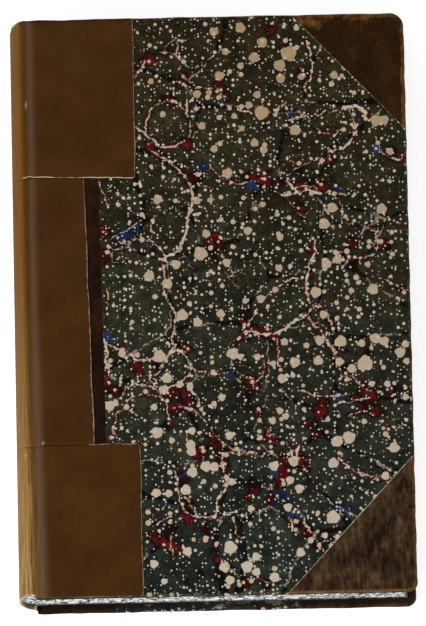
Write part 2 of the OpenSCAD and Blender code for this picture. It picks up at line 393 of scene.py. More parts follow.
CREAM_SPOTS = [
    (289.4, 51.8, 7.5), (280.2, 64.1, 5.7), (281.2, 77.3, 4.5), (262.2, 112.4, 6.7), (376, 118.8, 5.7),
    (384, 118, 4.5), (295.5, 129.4, 5.3), (201, 254.9, 6.5), (324, 223.9, 5.3), (372, 289.2, 5.3),
    (315.3, 292.7, 5.3), (326, 263.7, 4.9), (337, 259.4, 4.5), (150, 277.8, 5), (176.7, 266.1, 4.5),
    (168, 285.5, 4.9), (182.7, 316.7, 5.5), (198, 324, 4.5), (220.6, 315, 4), (206.7, 235, 4),
    (228, 173.9, 5), (158.8, 201, 4.5), (255, 142.7, 4), (264, 150, 3.7), (202.7, 126.3, 3.7), (198, 94.3, 4),
    (210, 92.7, 2.9), (220.4, 75.3, 4.5), (254.7, 56.5, 5), (262.9, 41, 5), (214.9, 31, 4.3),
    (241.4, 26.7, 5), (257.8, 94, 3.7), (241.4, 65, 3.3), (235, 116, 3), (334.3, 73.3, 4), (301.6, 75.3, 3.3),
    (226.5, 50.8, 3.5), (152, 82, 3), (163.9, 115, 3), (214.9, 149.4, 3.7), (242.4, 128.4, 2.9),
    (332, 207.5, 5), (381, 208, 5), (248, 231.4, 4), (262.9, 204.9, 2.9), (280, 238, 3.3), (227, 263.7, 4),
    (279, 268.6, 3.5), (260.8, 299.8, 4), (275, 290.6, 3), (245.5, 301.8, 3), (323, 315, 4),
    (355.7, 277.3, 2.9), (350.6, 290.6, 2.9), (389.4, 149.8, 3.5), (249.6, 104.9, 3.7), (367, 264, 2.9),
    (197.5, 201.8, 3.7), (211, 201, 2.9), (232.6, 354.9, 5.6), (257, 358, 3.3), (363.9, 363.7, 7.5),
    (350.7, 369, 4.3), (339.9, 341.6, 5.6), (319, 340.8, 4.6), (317.5, 361.2, 4.6), (373.9, 338.3, 5),
    (383, 341.3, 4.6), (398.8, 352.4, 5), (360.6, 343.3, 3.6), (338.6, 362, 4.1), (294.3, 363.2, 5),
    (281.8, 379.3, 4.6), (272.7, 364.5, 3), (305.9, 346, 3), (284, 342.8, 3.6), (160, 358.2, 6),
    (167.4, 379.8, 5), (164, 391.4, 4.6), (154.6, 408.8, 3.3), (157.5, 434.1, 5.5), (171.9, 442, 3),
    (192, 432.3, 3.6), (190.6, 446, 4.6), (191.5, 452.7, 4.6), (205.6, 467.6, 5), (213.8, 468, 4.6),
    (192.3, 473.4, 5), (185.7, 491.2, 5), (156.6, 494.2, 4.3), (168.7, 494.7, 3.6), (221.8, 398.8, 3.6),
    (229.3, 436.6, 4.1), (271.9, 421.7, 3.3), (285, 417, 3.3), (279.4, 411.6, 3.3), (347.8, 437.8, 6),
    (335.7, 442, 5.3), (392.6, 447.7, 5), (332, 463.5, 5), (331.6, 517.4, 6.5), (292.6, 461.8, 5),
    (289, 480.9, 4), (273.2, 466.8, 4.6), (298.4, 489.2, 4.3), (286.8, 507.8, 4), (229.6, 548, 6.2),
    (187.3, 552.2, 4.3), (246.2, 567, 5.5), (255.3, 557.2, 4), (255.3, 572.1, 4), (273.5, 577.4, 4.6),
    (223.8, 567.5, 5), (229.3, 580.4, 4.3), (299.3, 552.7, 4.3), (383.5, 475.9, 4), (309.2, 540.3, 3),
    (323.3, 535.6, 3), (336, 537, 2.7), (154.1, 564.7, 4), (164, 582, 3), (386, 383.9, 3.3),
    (370.6, 383.9, 3), (362.8, 421.7, 2.8), (250.3, 509.4, 3.3), (231.3, 482.6, 3.6), (110, 408, 5),
    (116, 405, 3.4), (123, 356, 3.6), (138, 357, 2.6), (127, 409, 2.8), (180, 386, 3.6), (190, 388, 3.4),
    (109, 368, 2.8), (404, 344, 3.6), (405, 361, 3.2), (404, 397, 3.2), (252, 383, 2.2), (240, 358, 3.2)]

# Veins: half width, then the places that they pass.
VEINS = [
    (1.3, (137, 77), (143, 67), (147, 60)), (1.3, (160, 52), (168, 53), (178, 55), (184, 61)), (1.2,
    (166, 50), (170, 44), (175, 38), (178, 43), (178, 55)), (0.9, (184, 61), (190, 69), (200, 66)), (0.9,
    (208, 60), (215, 54), (223, 48)), (1.3, (183, 75), (190, 82), (200, 88), (212, 88)), (1.5, (215, 83),
    (221, 91), (225, 97)), (1.4, (225, 104), (240, 108), (252, 114)), (1.3, (188, 118), (184, 108),
    (178, 102), (165, 103), (155, 106), (149, 115), (147, 130)), (1.2, (188, 100), (188, 108), (190, 116),
    (191, 130), (190, 138)), (1.8, (137, 130), (145, 133), (150, 138), (160, 147), (170, 149), (178, 146),
    (184, 143)), (1.2, (150, 150), (160, 157), (171, 163), (180, 172), (186, 176), (191, 186)), (1.0,
    (274, 115), (280, 108), (287, 100)), (1.5, (307, 40), (312, 52), (313, 65), (310, 80)), (1.2, (317, 55),
    (325, 63)), (1.4, (306, 82), (306, 90), (309, 95)), (1.2, (275, 110), (282, 102), (287, 106), (288, 119)),
    (1.6, (288, 119), (300, 116), (308, 113), (311, 122)), (0.8, (315, 117), (325, 110), (335, 109),
    (345, 107)), (3.0, (343, 106), (355, 105), (364, 108), (366, 118)), (1.4, (348, 108), (352, 116),
    (354, 124)), (1.6, (357, 122), (355, 132), (350, 142), (340, 148), (328, 152)), (1.4, (328, 147),
    (330, 160)), (0.8, (318, 128), (327, 134), (336, 133), (342, 127)), (0.8, (290, 160), (300, 164),
    (312, 162), (322, 158)), (1.4, (376, 136), (380, 148), (384, 155), (400, 158)), (2.2, (191, 186),
    (194, 195), (192, 206), (191, 213), (188, 221), (187, 232), (183, 245), (180, 252), (165, 260)), (1.8,
    (163, 261), (164, 275), (166, 285), (165, 298), (172, 307), (176, 314)), (1.1, (182, 245), (185, 258),
    (190, 268), (196, 270)), (1.0, (208, 165), (215, 172), (222, 178)), (1.3, (120, 245), (140, 240),
    (150, 243), (160, 247), (166, 258)), (1.0, (113, 240), (130, 232), (143, 222)), (1.5, (100, 185),
    (105, 195), (108, 210)), (1.0, (150, 225), (154, 235), (150, 243)), (0.9, (222, 255), (232, 270),
    (236, 286)), (1.2, (228, 183), (240, 184), (250, 182)), (1.0, (110, 290), (110, 300), (107, 312)), (1.0,
    (202, 186), (208, 188), (213, 190)), (0.8, (120, 250), (126, 252), (128, 258), (126, 264), (120, 266),
    (114, 264), (112, 258), (114, 252), (120, 250)), (1.6, (276, 193), (288, 196), (296, 192), (310, 190),
    (320, 194), (330, 190), (345, 195)), (1.4, (286, 182), (293, 188), (297, 193)), (1.3, (295, 187),
    (312, 185), (318, 190)), (0.9, (286, 182), (292, 170), (300, 165), (312, 162)), (0.9, (285, 196),
    (292, 205), (298, 212), (305, 218)), (0.9, (320, 200), (325, 208), (333, 218), (334, 232)), (1.0,
    (340, 200), (342, 215), (340, 228)), (0.9, (345, 222), (360, 227), (368, 225), (376, 233), (378, 245),
    (375, 252), (365, 257), (352, 258)), (1.3, (322, 252), (335, 252), (346, 251), (347, 260), (342, 270)),
    (1.6, (315, 240), (314, 255), (310, 262), (307, 275), (305, 282), (307, 295), (312, 307), (322, 308)),
    (1.2, (262, 300), (270, 295), (280, 286), (290, 280), (305, 278)), (1.0, (378, 278), (390, 282),
    (400, 288), (408, 291)), (0.8, (388, 215), (392, 222), (405, 223)), (1.6, (176, 314), (175, 324),
    (173, 340), (175, 351)), (2.4, (170, 353), (175, 351), (182, 353)), (1.8, (175, 352), (168, 358),
    (164, 362), (150, 362), (135, 361), (130, 353), (120, 350), (111, 350), (104, 342)), (1.6, (182, 353),
    (188, 360), (191, 368), (197, 372)), (1.2, (197, 372), (206, 374), (215, 375), (221, 374)), (1.3,
    (191, 368), (190, 376), (184, 381), (178, 386), (170, 388)), (1.3, (164, 362), (163, 370), (158, 375),
    (150, 378)), (2.2, (105, 346), (108, 354), (107, 364), (110, 374)), (1.4, (150, 378), (155, 388),
    (159, 393), (165, 398)), (1.2, (123, 397), (126, 390), (134, 386), (146, 386), (155, 391)), (1.0,
    (128, 406), (129, 400), (138, 398), (152, 396), (160, 398), (167, 404), (168, 413), (169, 421),
    (172, 427)), (1.3, (120, 444), (117, 438), (113, 431), (115, 424), (118, 416), (123, 412), (131, 411),
    (137, 417)), (1.5, (188, 386), (192, 392), (198, 400), (200, 408)), (1.8, (174, 408), (185, 410),
    (195, 411), (199, 415)), (1.1, (199, 415), (208, 426), (215, 436), (222, 443), (232, 451), (245, 452),
    (258, 455)), (1.0, (220, 455), (232, 454), (245, 455), (258, 457), (270, 455)), (1.2, (257, 310),
    (252, 318), (248, 325), (252, 332), (258, 334)), (2.0, (255, 335), (264, 335), (272, 334), (279, 334),
    (285, 330), (290, 325), (297, 322), (305, 318), (310, 311)), (1.0, (280, 328), (288, 324), (296, 320),
    (304, 314)), (0.8, (228, 350), (231, 343), (240, 340), (250, 338)), (0.8, (222, 374), (228, 368),
    (235, 371), (241, 378), (254, 380)), (0.9, (276, 340), (277, 350), (278, 362), (279, 375)), (0.9,
    (257, 358), (263, 362), (265, 370), (262, 378), (256, 383)), (1.4, (308, 319), (316, 328), (322, 335),
    (328, 345), (334, 353), (337, 360)), (1.1, (325, 310), (328, 318), (332, 328), (335, 335)), (1.0,
    (338, 362), (340, 372), (341, 382)), (0.9, (340, 378), (346, 375), (352, 378), (358, 383), (364, 390),
    (370, 393), (378, 391), (386, 390)), (0.8, (280, 387), (285, 395), (291, 404)), (1.2, (300, 391),
    (307, 394), (316, 396), (325, 398), (338, 396), (345, 393)), (1.4, (333, 407), (340, 402), (348, 403),
    (356, 401), (362, 400), (368, 398)), (0.9, (347, 416), (353, 413), (358, 411), (365, 412), (372, 416),
    (378, 420), (386, 425)), (1.0, (262, 423), (266, 430), (272, 436), (282, 440)), (1.6, (286, 444),
    (292, 450), (290, 458), (296, 464)), (1.4, (298, 446), (295, 454), (300, 460)), (1.5, (173, 467),
    (176, 475), (178, 485), (179, 495), (180, 505), (183, 512), (190, 516), (206, 519), (215, 518)), (1.6,
    (186, 497), (189, 503), (194, 510), (198, 516)), (1.6, (221, 455), (222, 465), (225, 475), (227, 482),
    (226, 490), (220, 494), (217, 500), (217, 508), (214, 516)), (1.0, (216, 505), (222, 511), (230, 513),
    (238, 516)), (0.8, (240, 518), (246, 516), (252, 513), (259, 512)), (1.3, (157, 527), (160, 522),
    (168, 520), (173, 518)), (1.1, (170, 536), (171, 545), (173, 552), (175, 558)), (1.3, (233, 519),
    (236, 525), (234, 532), (238, 538)), (1.0, (219, 557), (225, 566), (232, 573), (240, 578)), (0.9,
    (246, 580), (256, 578), (266, 582), (276, 582)), (1.2, (338, 460), (346, 467), (352, 471), (372, 477),
    (386, 474)), (0.8, (352, 473), (366, 478), (380, 480)), (0.9, (310, 490), (318, 494), (324, 498),
    (332, 504), (345, 512), (354, 516)), (1.6, (297, 512), (302, 520), (306, 528), (311, 535), (316, 541),
    (320, 548), (322, 552)), (1.5, (289, 518), (291, 525), (292, 531)), (1.0, (320, 541), (330, 543),
    (336, 540)), (1.0, (395, 428), (402, 424), (409, 428))]

RED_STAINS = [
    (150, 60, 6), (186, 78, 4), (180, 86, 3), (219, 88, 6), (227, 96, 4), (170, 100, 6), (187, 145, 5),
    (152, 148, 6), (158, 155, 4), (166, 161, 3), (182, 172, 3), (302, 70, 4), (330, 159, 5), (390, 152, 5),
    (400, 156, 4), (176, 168, 3), (193, 180, 5), (215, 243, 8), (105, 234, 5), (105, 258, 7), (251, 177, 5),
    (265, 180, 7), (278, 183, 4), (303, 186, 6), (318, 186, 6), (326, 188, 4), (300, 208, 4), (303, 215, 3),
    (383, 244, 5), (352, 243, 5), (310, 250, 3), (310, 275, 3), (310, 290, 3), (290, 281, 3), (400, 287, 3),
    (271, 29, 4), (250, 332, 7), (244, 336, 5), (246, 324, 4), (258, 333, 4), (186, 351, 5), (136, 368, 5),
    (140, 374, 4), (175, 392, 5), (170, 397, 4), (186, 396, 5), (172, 410, 5), (180, 407, 5), (176, 413, 5),
    (190, 405, 4), (215, 443, 6), (219, 449, 4), (210, 436, 4), (105, 383, 5), (112, 392, 4), (118, 394, 4),
    (250, 383, 6), (255, 386, 4), (258, 412, 4), (202, 453, 6), (196, 456, 4), (275, 340, 5), (268, 333, 5),
    (322, 403, 5), (320, 410, 6), (318, 416, 4), (307, 424, 4), (362, 394, 6), (370, 398, 6), (355, 398, 4),
    (360, 409, 5), (375, 412, 5), (269, 437, 6), (273, 441, 4), (315, 435, 4), (283, 460, 4), (300, 462, 5),
    (306, 469, 3), (390, 392, 3), (402, 392, 3), (330, 322, 3), (333, 330, 3), (305, 314, 4), (152, 537, 4),
    (158, 540, 5), (164, 544, 5), (172, 547, 5), (177, 549, 4), (190, 520, 5), (184, 515, 4), (178, 485, 3),
    (181, 478, 4), (186, 479, 3), (184, 503, 5), (190, 507, 4), (222, 462, 5), (224, 470, 4), (253, 492, 5),
    (248, 498, 4), (257, 488, 3), (282, 478, 7), (281, 470, 4), (279, 486, 4), (237, 533, 4), (215, 545, 3),
    (217, 560, 3), (232, 571, 3), (246, 583, 4), (266, 584, 4), (270, 500, 4), (204, 528, 3), (208, 533, 3),
    (293, 523, 4), (307, 533, 4), (304, 527, 3), (317, 546, 4)]
BLUE_STAINS = [
    (222, 100, 3), (290, 111, 4), (355, 114, 4), (375, 147, 4), (120, 240, 4), (128, 236, 5), (137, 231, 5),
    (203, 167, 5), (253, 187, 5), (338, 191, 5), (342, 210, 3), (110, 340, 6), (232, 376, 4), (337, 397, 4),
    (184, 476, 4), (280, 498, 7), (274, 474, 4), (290, 514, 4), (340, 508, 5), (334, 505, 4), (347, 512, 4),
    (297, 516, 3)]
BLACK_STAINS = [
    (190, 283, 6), (155, 253, 4), (265, 125, 4), (285, 133, 5), (300, 170, 5), (335, 222, 3), (145, 205, 5),
    (139, 220, 4), (205, 312, 5), (245, 316, 8), (157, 367, 6), (172, 396, 6), (180, 399, 5), (247, 397, 6),
    (250, 408, 4), (165, 428, 5), (345, 350, 5), (335, 344, 4), (367, 352, 4), (345, 368, 4), (250, 484, 6),
    (157, 525, 5), (170, 528, 6), (165, 535, 5), (213, 548, 4), (240, 548, 4), (184, 582, 3), (216, 580, 4),
    (200, 575, 4), (325, 538, 5), (395, 389, 4), (335, 428, 3)]

# The flat of the front cover in the photo: head and tail at the joint, then head and tail at the fore-edge.
PHOTO_FLAT = ((38, 21.5), (47, 599.5), (403.5, 8.5), (415, 590.5))


def on_board(rows):
    """Turns places read off the photo into places and radii on the board, in millimetres."""
    (hx, hy), (tx, ty), (fx, fy), (gx, gy) = PHOTO_FLAT
    x, y, radius = np.array(rows, float).T
    left = hx + (y - hy) * (tx - hx) / (ty - hy)
    right = fx + (y - fy) * (gx - fx) / (gy - fy)
    top = hy + (x - hx) * (fy - hy) / (fx - hx)
    low = ty + (x - tx) * (gy - ty) / (gx - tx)
    across = (x - left) / (right - left)
    down = (y - top) / (low - top)
    scale = 2 * HALF_H / (low - top)
    return np.stack([FLANK_W + across * (COVER_W - FLANK_W), HALF_H * (1 - 2 * down), radius * scale], axis=1)


def field_edges(points, fields):
    """How far points are from where two fields meet, and the field that each lies in."""
    gaps = np.hypot(points[:, :1] - fields[:, 0], points[:, 1:2] - fields[:, 1]) - fields[:, 2]
    near = np.partition(gaps, 1, axis=1)
    return (near[:, 1] - near[:, 0]) / 2, np.argmin(gaps, axis=1)


# Marks are kept within this distance of a shape, in millimetres.
FAR = 9.0


def blots(points, rows, uneven, random):
    """How far inside uneven round blots points lie, in millimetres."""
    inside = np.full(len(points), -FAR)
    for u, y, radius in rows:
        away = points - (u, y)
        angle = np.arctan2(away[:, 1], away[:, 0])
        turn = random.uniform(0, 2 * math.pi)
        rim = radius * (1 + uneven * (np.sin(3 * angle + turn) + 0.7 * np.sin(5 * angle - 2 * turn)))
        inside = np.maximum(inside, rim - np.hypot(*away.T))
    return inside


# The veins fray, so thin ones are drawn thinner than they were read.
VEIN_POWER = 1.3
VEIN_SHARE = 0.5
VEIN_LEAST = 0.03
# How much a vein swells, the wave length of that, and how far from a vein its depth is worked out.
VEIN_SWELL = 0.6
SWELL_WAVE = 6
VEIN_REACH = 3


def vein_depth(points, veins, seed):
    """How far inside the nearest vein points lie, in millimetres. A vein swells and thins along its way."""
    inside = np.full(len(points), -FAR)
    swell = 1 + waver(points[:, 0] + 1.3 * points[:, 1], VEIN_SWELL, SWELL_WAVE, seed)
    for half, *places in veins:
        line = on_board([(x, y, half) for x, y in places])
        for _ in range(2):
            ends = line[:-1], line[1:]
            between = np.stack([0.75 * ends[0] + 0.25 * ends[1], 0.25 * ends[0] + 0.75 * ends[1]], axis=1)
            line = np.concatenate([line[:1], between.reshape(-1, 3), line[-1:]])
        low, high = line[:, :2].min(0) - VEIN_REACH, line[:, :2].max(0) + VEIN_REACH
        near = np.flatnonzero(((points > low) & (points < high)).all(1))
        for a, b in zip(line[:-1], line[1:]):
            span = (b - a)[:2]
            half_width = VEIN_LEAST + VEIN_SHARE * a[2] ** VEIN_POWER
            away = points[near] - a[:2]
            share = np.clip(away @ span / (span @ span), 0, 1)
            reach = np.hypot(*(away - share[:, None] * span).T)
            inside[near] = np.maximum(inside[near], half_width * swell[near] - reach)
    return inside


# How the marbling was swayed, twice along u and twice along y: the waves' direction, size and length.
SWAYS = ((0.8, 0.6, 0.5, 9), (0.5, -0.9, 0.4, 5), (0.6, -0.8, 0.5, 8), (0.9, 0.5, 0.4, 4))
# How uneven the rims of stains and spots are.
STAIN_RIM = 0.2
SPOT_RIM = 0.08
# The hidden back: how many fields, tries for stains, red, blue and black stains, and spots, with their radii.
BACK_FIELDS = (60, 6, 14)
BACK_TRIES = (4000, 0.7, 2.3)
BACK_STAINS = (90, 22, 32)
BACK_SPOTS = (190, 0.8, 2.5)
# Its veins come and go in long and short waves along the meeting lines, and are this much thinner.
BACK_VEINS = ((0.7, 0.7, 0.6, 33), (0.8, -0.6, 0.35, 7))
BACK_VEINS_LESS = 0.15
# Its stains lie this near to where fields meet, and its marbling goes on past the board's edges.
STAIN_GAP = 1.2
OVER_SIDE = 20
OVER_ENDS = 15


def marbled_marks(read_off, seed):
    """Works out the marbling on the flat paper: the front's as in the photo, the back's in its manner."""
    random = np.random.default_rng(seed)

    def scatter(count, low, high):
        ranges = ((0, COVER_W + OVER_SIDE), (-HALF_H - OVER_ENDS, HALF_H + OVER_ENDS), (low, high))
        return np.stack([random.uniform(*ends, count) for ends in ranges], axis=1)
    fields = on_board(GREEN_FIELDS) if read_off else scatter(*BACK_FIELDS)
    tones = random.uniform(0, 1, len(fields))

    def marks(flat):
        sway = [slanted(flat, *row, seed + number) for number, row in enumerate(SWAYS)]
        points = flat[:, :2] + np.stack([sway[0] + sway[1], sway[2] + sway[3]], axis=1)
        edge, owner = field_edges(points, fields)
        if read_off:
            vein = vein_depth(points, VEINS, seed)
            stains = [on_board(rows) for rows in (RED_STAINS, BLUE_STAINS, BLACK_STAINS)]
            spots = on_board(CREAM_SPOTS)
        else:
            long_wave, short_wave = BACK_VEINS
            vein = slanted(flat, *long_wave, seed) + slanted(flat, *short_wave, seed + 4)
            vein = vein - BACK_VEINS_LESS - edge
            near = scatter(*BACK_TRIES)
            near = near[field_edges(near[:, :2], fields)[0] < STAIN_GAP]
            stains = np.split(near[:sum(BACK_STAINS)], np.cumsum(BACK_STAINS)[:-1])
            spots = scatter(*BACK_SPOTS)
        return {"vein": np.maximum(vein, -FAR), "edge": np.minimum(edge, FAR), "tone": tones[owner],
                "sheet": flat,
                "stains": np.stack([blots(points, rows, STAIN_RIM, random) for rows in stains], axis=1),
                "spot": blots(flat[:, :2], spots, SPOT_RIM, random)}
    return marks


# Materials

def painted_turn_in_shade(tree, colour, code):
    """Darkens the turned-in part of a covering with painted shade."""
    turn_in_shade, = mark_values(tree, "turn_in_shade")
    return mixed(tree, ranged(tree, turn_in_shade, 0, 1, 0, 0.86), colour, code)


def marbled_paper():
    """Marbled paper: dark green fields, frayed cream veins, red, blue and black stains, cream spots; matt."""
    material, tree = new_material("marbled_paper")
    sheet = mark_vector(tree, "sheet")
    red, blue, black = split_up(tree, mark_vector(tree, "stains"))
    vein, edge, tone, spot, raw, trim = mark_values(tree, "vein", "edge", "tone", "spot", "raw", "trim")
    mottle = noise(tree, sheet, size=8, detail=8.0, rough=0.78)
    fray = noise(tree, sheet, size=1.5, detail=5.0, rough=0.72)
    veil = noise(tree, sheet, size=17, detail=3.0, rough=0.6)
    # A fringe frays every edge of the colours by up to half a millimetre.
    fringe = ranged(tree, fray, 0.25, 0.75, -0.5, 0.5)

    def field_lines(paint, code, strength, lost, full, least, most, soft):
        """Lines where fields meet, wide in some places and lost in others."""
        width = ranged(tree, veil, lost, full, least, most)
        torn = maths(tree, "MULTIPLY_ADD", fringe, 0.5, maths(tree, "SUBTRACT", width, edge))
        return mixed(tree, ranged(tree, torn, -soft, soft, 0, strength, soft=True), paint, code)

    def beside_veins(paint, code, strength, clouds, none, full, far, near):
        """Colour that has gathered along the veins in some places."""
        patchy = ranged(tree, clouds, none, full, 0, strength)
        close = ranged(tree, vein, far, near, soft=True)
        return mixed(tree, maths(tree, "MULTIPLY", close, patchy), paint, code)

    # Green: each field has its own tone, olive at the head, colder at the tail, with mottle and fine grain.
    down = ranged(tree, split_up(tree, sheet)[1], HALF_H, -HALF_H)
    olive = toned(tree, mottle, (0.3, "#100C03"), (0.5, "#2D2713"), (0.72, "#463C23"))
    cold = toned(tree, mottle, (0.3, "#080C09"), (0.5, "#222923"), (0.72, "#384038"))
    paint = mixed(tree, down, olive, cold)
    paint = shaded(tree, paint, ranged(tree, tone, 0, 1, 0.74, 1.12))
    paint = shaded(tree, paint, ranged(tree, fray, 0.25, 0.75, 0.5, 1.5))

    # Black lines between fields, black and red beside the veins, then thin pale lines between fields.
    paint = field_lines(paint, "#080705", 0.96, lost=0.64, full=0.44, least=-0.3, most=0.8, soft=0.2)
    paint = beside_veins(paint, "#100C09", 0.9, veil, none=0.38, full=0.54, far=-1.5, near=-0.1)
    shifted = add(tree, "Mapping", {"Vector": sheet, "Location": (31.0, 17.0, 0.0)}).outputs[0]
    drift = noise(tree, shifted, size=12, detail=3.0, rough=0.6)
    paint = beside_veins(paint, "#4A0F0C", 0.85, drift, none=0.46, full=0.56, far=-0.9, near=-0.3)
    paint = field_lines(paint, "#B8A692", 0.62, lost=0.42, full=0.56, least=-0.45, most=0.22, soft=0.16)

    # Stains, the red ones with a black rim, then veins over them: depth inside the shape, how far the colour
    # spreads past it, how much the fringe frays it, softness, darker and lighter colour.
    for depth, spread, ragged, soft, darker, lighter in (
            (black, 0.0, 1.3, 1.1, "#0A0806", "#110E0A"),
            (red, 0.7, 1.0, 0.5, "#0A0705", "#0F0906"),
            (red, -0.1, 2.6, 0.3, "#220706", "#5E1310"),
            (blue, 0.0, 2.3, 0.3, "#10131F", "#22345A"),
            (vein, 0.0, 0.85, 0.16, "#AC9680", "#D8C9B6")):
        torn = maths(tree, "MULTIPLY_ADD", fringe, ragged, depth)
        inside = ranged(tree, torn, -soft - spread, soft - spread, soft=True)
        paint = mixed(tree, inside, paint, toned(tree, mottle, (0.42, darker), (0.58, lighter)))

    # Cream spots: large ones where the photo has them, then three finer sprinkles, thicker in some places.
    ragged = maths(tree, "MULTIPLY_ADD", fringe, 0.5, spot)
    cream = mixed(tree, down, "#AA8C68", "#C6B6A2")
    paint = mixed(tree, ranged(tree, ragged, -0.15, 0.15, soft=True), paint, cream)
    crowd = ranged(tree, veil, 0.35, 0.65, 0.1, -0.12)
    for cell, largest, missing, code in (
            (4.6, 1.1, 0.5, "#BCA88C"), (2.4, 0.72, 0.66, "#C8BAA4"), (1.3, 0.42, 0.72, "#CFC6B6")):
        inputs = {"Vector": sheet, "Scale": 1 / cell, "Randomness": 1.0}
        dots = add(tree, "TexVoronoi", inputs, voronoi_dimensions="2D")
        pick = add(tree, "SeparateColor", {0: dots.outputs["Color"]}).outputs[0]
        radius = ranged(tree, pick, missing, 1.0, -0.02, largest / cell)
        radius = maths(tree, "MULTIPLY_ADD", crowd, largest / cell, radius)
        gap = maths(tree, "SUBTRACT", radius, dots.outputs["Distance"])
        paint = mixed(tree, ranged(tree, gap, -0.06 / cell, 0.1 / cell), paint, code)

    # Rubbed places and the paper's raw cut edge, where the sheet itself shows.
    for mark, none, full, strength, code in (
            (raw, 0.42, 0.6, 0.8, "#80694A"), (trim, 0.3, 0.46, 0.9, "#C2B294")):
        bare = ranged(tree, maths(tree, "MULTIPLY", mark, fray), none, full, 0, strength)
        paint = mixed(tree, bare, paint, code)
    # Painted shade darkens the turned-in part.
    paint = painted_turn_in_shade(tree, paint, "#1B1A15")
    rough = ranged(tree, fray, 0, 1, 0.6, 0.75)
    close_material(tree, paint, rough, fray, 0.02, {"Specular IOR Level": 0.05})
    return material


# A wave texture of scale 1 repeats about this often in a unit of length.
WAVES = 3.18
# The threads are about 0.4 mm apart; they are drawn at 0.8 mm, so that they show at this size.
THREAD_PITCH = 0.8
CORD_PITCH = 1.2


def bookcloth():
    """Brown bookcloth tape: a fine weave, golden on the spine, a painted grey sheen at the joint, pale at cut
    edges.
    """
    material, tree = new_material("bookcloth_tape")
    place = object_place(tree)
    cloth = mark_vector(tree, "cloth")
    cut, faded, painted_sheen, nick = mark_values(tree, "cut", "faded", "painted_sheen", "nick")
    blotch = noise(tree, place, size=16 * MM, detail=5.0, rough=0.6)
    brown = toned(tree, blotch, (0.3, "#402409"), (0.5, "#46290C"), (0.75, "#4F3112"))
    # A painted grey-lilac sheen on the joint's flank, standing in for a reflection there.
    colour = mixed(tree, painted_sheen, brown, "#6A5854")

    # Sun-bleached spine: golden, paler towards the tail, with fine streaks along its length, the cloth's
    # grain with painted highlights on it.
    along = ranged(tree, split_up(tree, cloth)[1], 20.0, -110.0)
    streak = noise(tree, drawn_out(tree, cloth, (1.0, 0.05, 1.0)), size=0.9, detail=3.0, rough=0.6)
    dull = mixed(tree, along, "#4E300C", "#583C18")
    bright = mixed(tree, along, "#855A16", "#B68F55")
    lean = ranged(tree, streak, 0.3, 0.7, -0.5, 0.5)
    lean = maths(tree, "MULTIPLY_ADD", lean, ranged(tree, along, 0, 1, 0.35, 1.0), 0.5)
    # Over the groove and the board's edge, part of this share is painted lightening that offsets the groove's
    # shade.
    colour = mixed(tree, faded, colour, mixed(tree, lean, dull, bright))

    threads = [add(tree, "TexWave", {"Vector": cloth, "Scale": 1 / THREAD_PITCH / WAVES, "Distortion": 1.2,
                                     "Detail": 2.0, "Detail Scale": 1.5}, bands_direction=way).outputs["Fac"]
               for way in ("X", "Y")]
    weave = maths(tree, "MULTIPLY", *threads)
    colour = shaded(tree, colour, ranged(tree, weave, 0, 1, 0.82, 1.24))

    # The cut edge frays to pale thread, and a few nicks and specks show it too.
    fray = noise(tree, place, size=1.8 * MM, detail=3.0)
    out = maths(tree, "SUBTRACT", ranged(tree, fray, 0.3, 0.7, 0.02, 0.3), cut)
    pale = maths(tree, "MAXIMUM", ranged(tree, out, -0.16, 0.12), nick)
    colour = mixed(tree, pale, colour, "#CBBB98")
    rough = ranged(tree, fray, 0, 1, 0.5, 0.65)
    close_material(tree, colour, rough, weave, 0.05, {"Specular IOR Level": 0.06})
    return material


def leather(name, codes, worn, grain_stretch):
    """Old leather: dark, grained, a little glossy, rubbed to bare tan along its edges."""
    material, tree = new_material(name)
    place = object_place(tree)
    raw, = mark_values(tree, "raw")
    drawn = drawn_out(tree, place, grain_stretch)
    streak = noise(tree, drawn, size=7 * MM, detail=7.0, rough=0.7)
    cloud = noise(tree, place, size=15 * MM, detail=4.0, rough=0.6)
    blotch = ranged(tree, maths(tree, "ADD", streak, cloud), 0.76, 1.24)
    colour = toned(tree, blotch, *zip((0.15, 0.52, 0.85), codes))
    grain = add(tree, "TexVoronoi", {"Vector": drawn, "Scale": 1 / (1.1 * MM)}, feature="DISTANCE_TO_EDGE")
    crackle = ranged(tree, grain.outputs["Distance"], 0.0, 0.3)
    colour = shaded(tree, colour, ranged(tree, crackle, 0, 1, 0.6, 1.15))
    rub = noise(tree, drawn, size=2.6 * MM, detail=5.0, rough=0.65)
    bare = ranged(tree, maths(tree, "MULTIPLY", raw, rub), 0.3, 0.6, 0, 0.85)
    # Rubbed to bare tan, then painted shade on the turned-in part.
    colour = painted_turn_in_shade(tree, mixed(tree, bare, colour, worn), codes[0])
    rough = ranged(tree, rub, 0, 1, 0.4, 0.62)
    close_material(tree, colour, rough, crackle, 0.06, {"Specular IOR Level": 0.06})
    return material


def marbled_edges():
    """The cut edges of the leaves: fine lines of paper under a blue-grey, white and dark marbling."""
    material, tree = new_material("marbled_leaf_edges")
    place = object_place(tree)
    wide = drawn_out(tree, place, (1.0, 1.0, 0.7))
    cloud = noise(tree, wide, size=2.8 * MM, detail=6.0, rough=0.62, twist=1.4)
    colour = toned(tree, cloud, (0.36, "#0C1214"), (0.43, "#3C4A50"), (0.48, "#8A9698"), (0.52, "#E4E7E4"),
                   (0.62, "#FBFAF4"))
    lines = noise(tree, drawn_out(tree, place, (0.02, 0.02, 1.0)), size=0.35 * MM, detail=2.0)
    colour = shaded(tree, colour, ranged(tree, lines, 0.3, 0.7, 0.7, 1.12))
    # Painted shade darkens the outer leaves, where they meet the boards.
    from_middle = maths(tree, "ABSOLUTE", maths(tree, "SUBTRACT", split_up(tree, place)[2], HALF_T * MM))
    colour = shaded(tree, colour, ranged(tree, from_middle, 11.6 * MM, 13.4 * MM, 1.0, 0.14))
    close_material(tree, colour, 0.75, lines, 0.12)
    return material


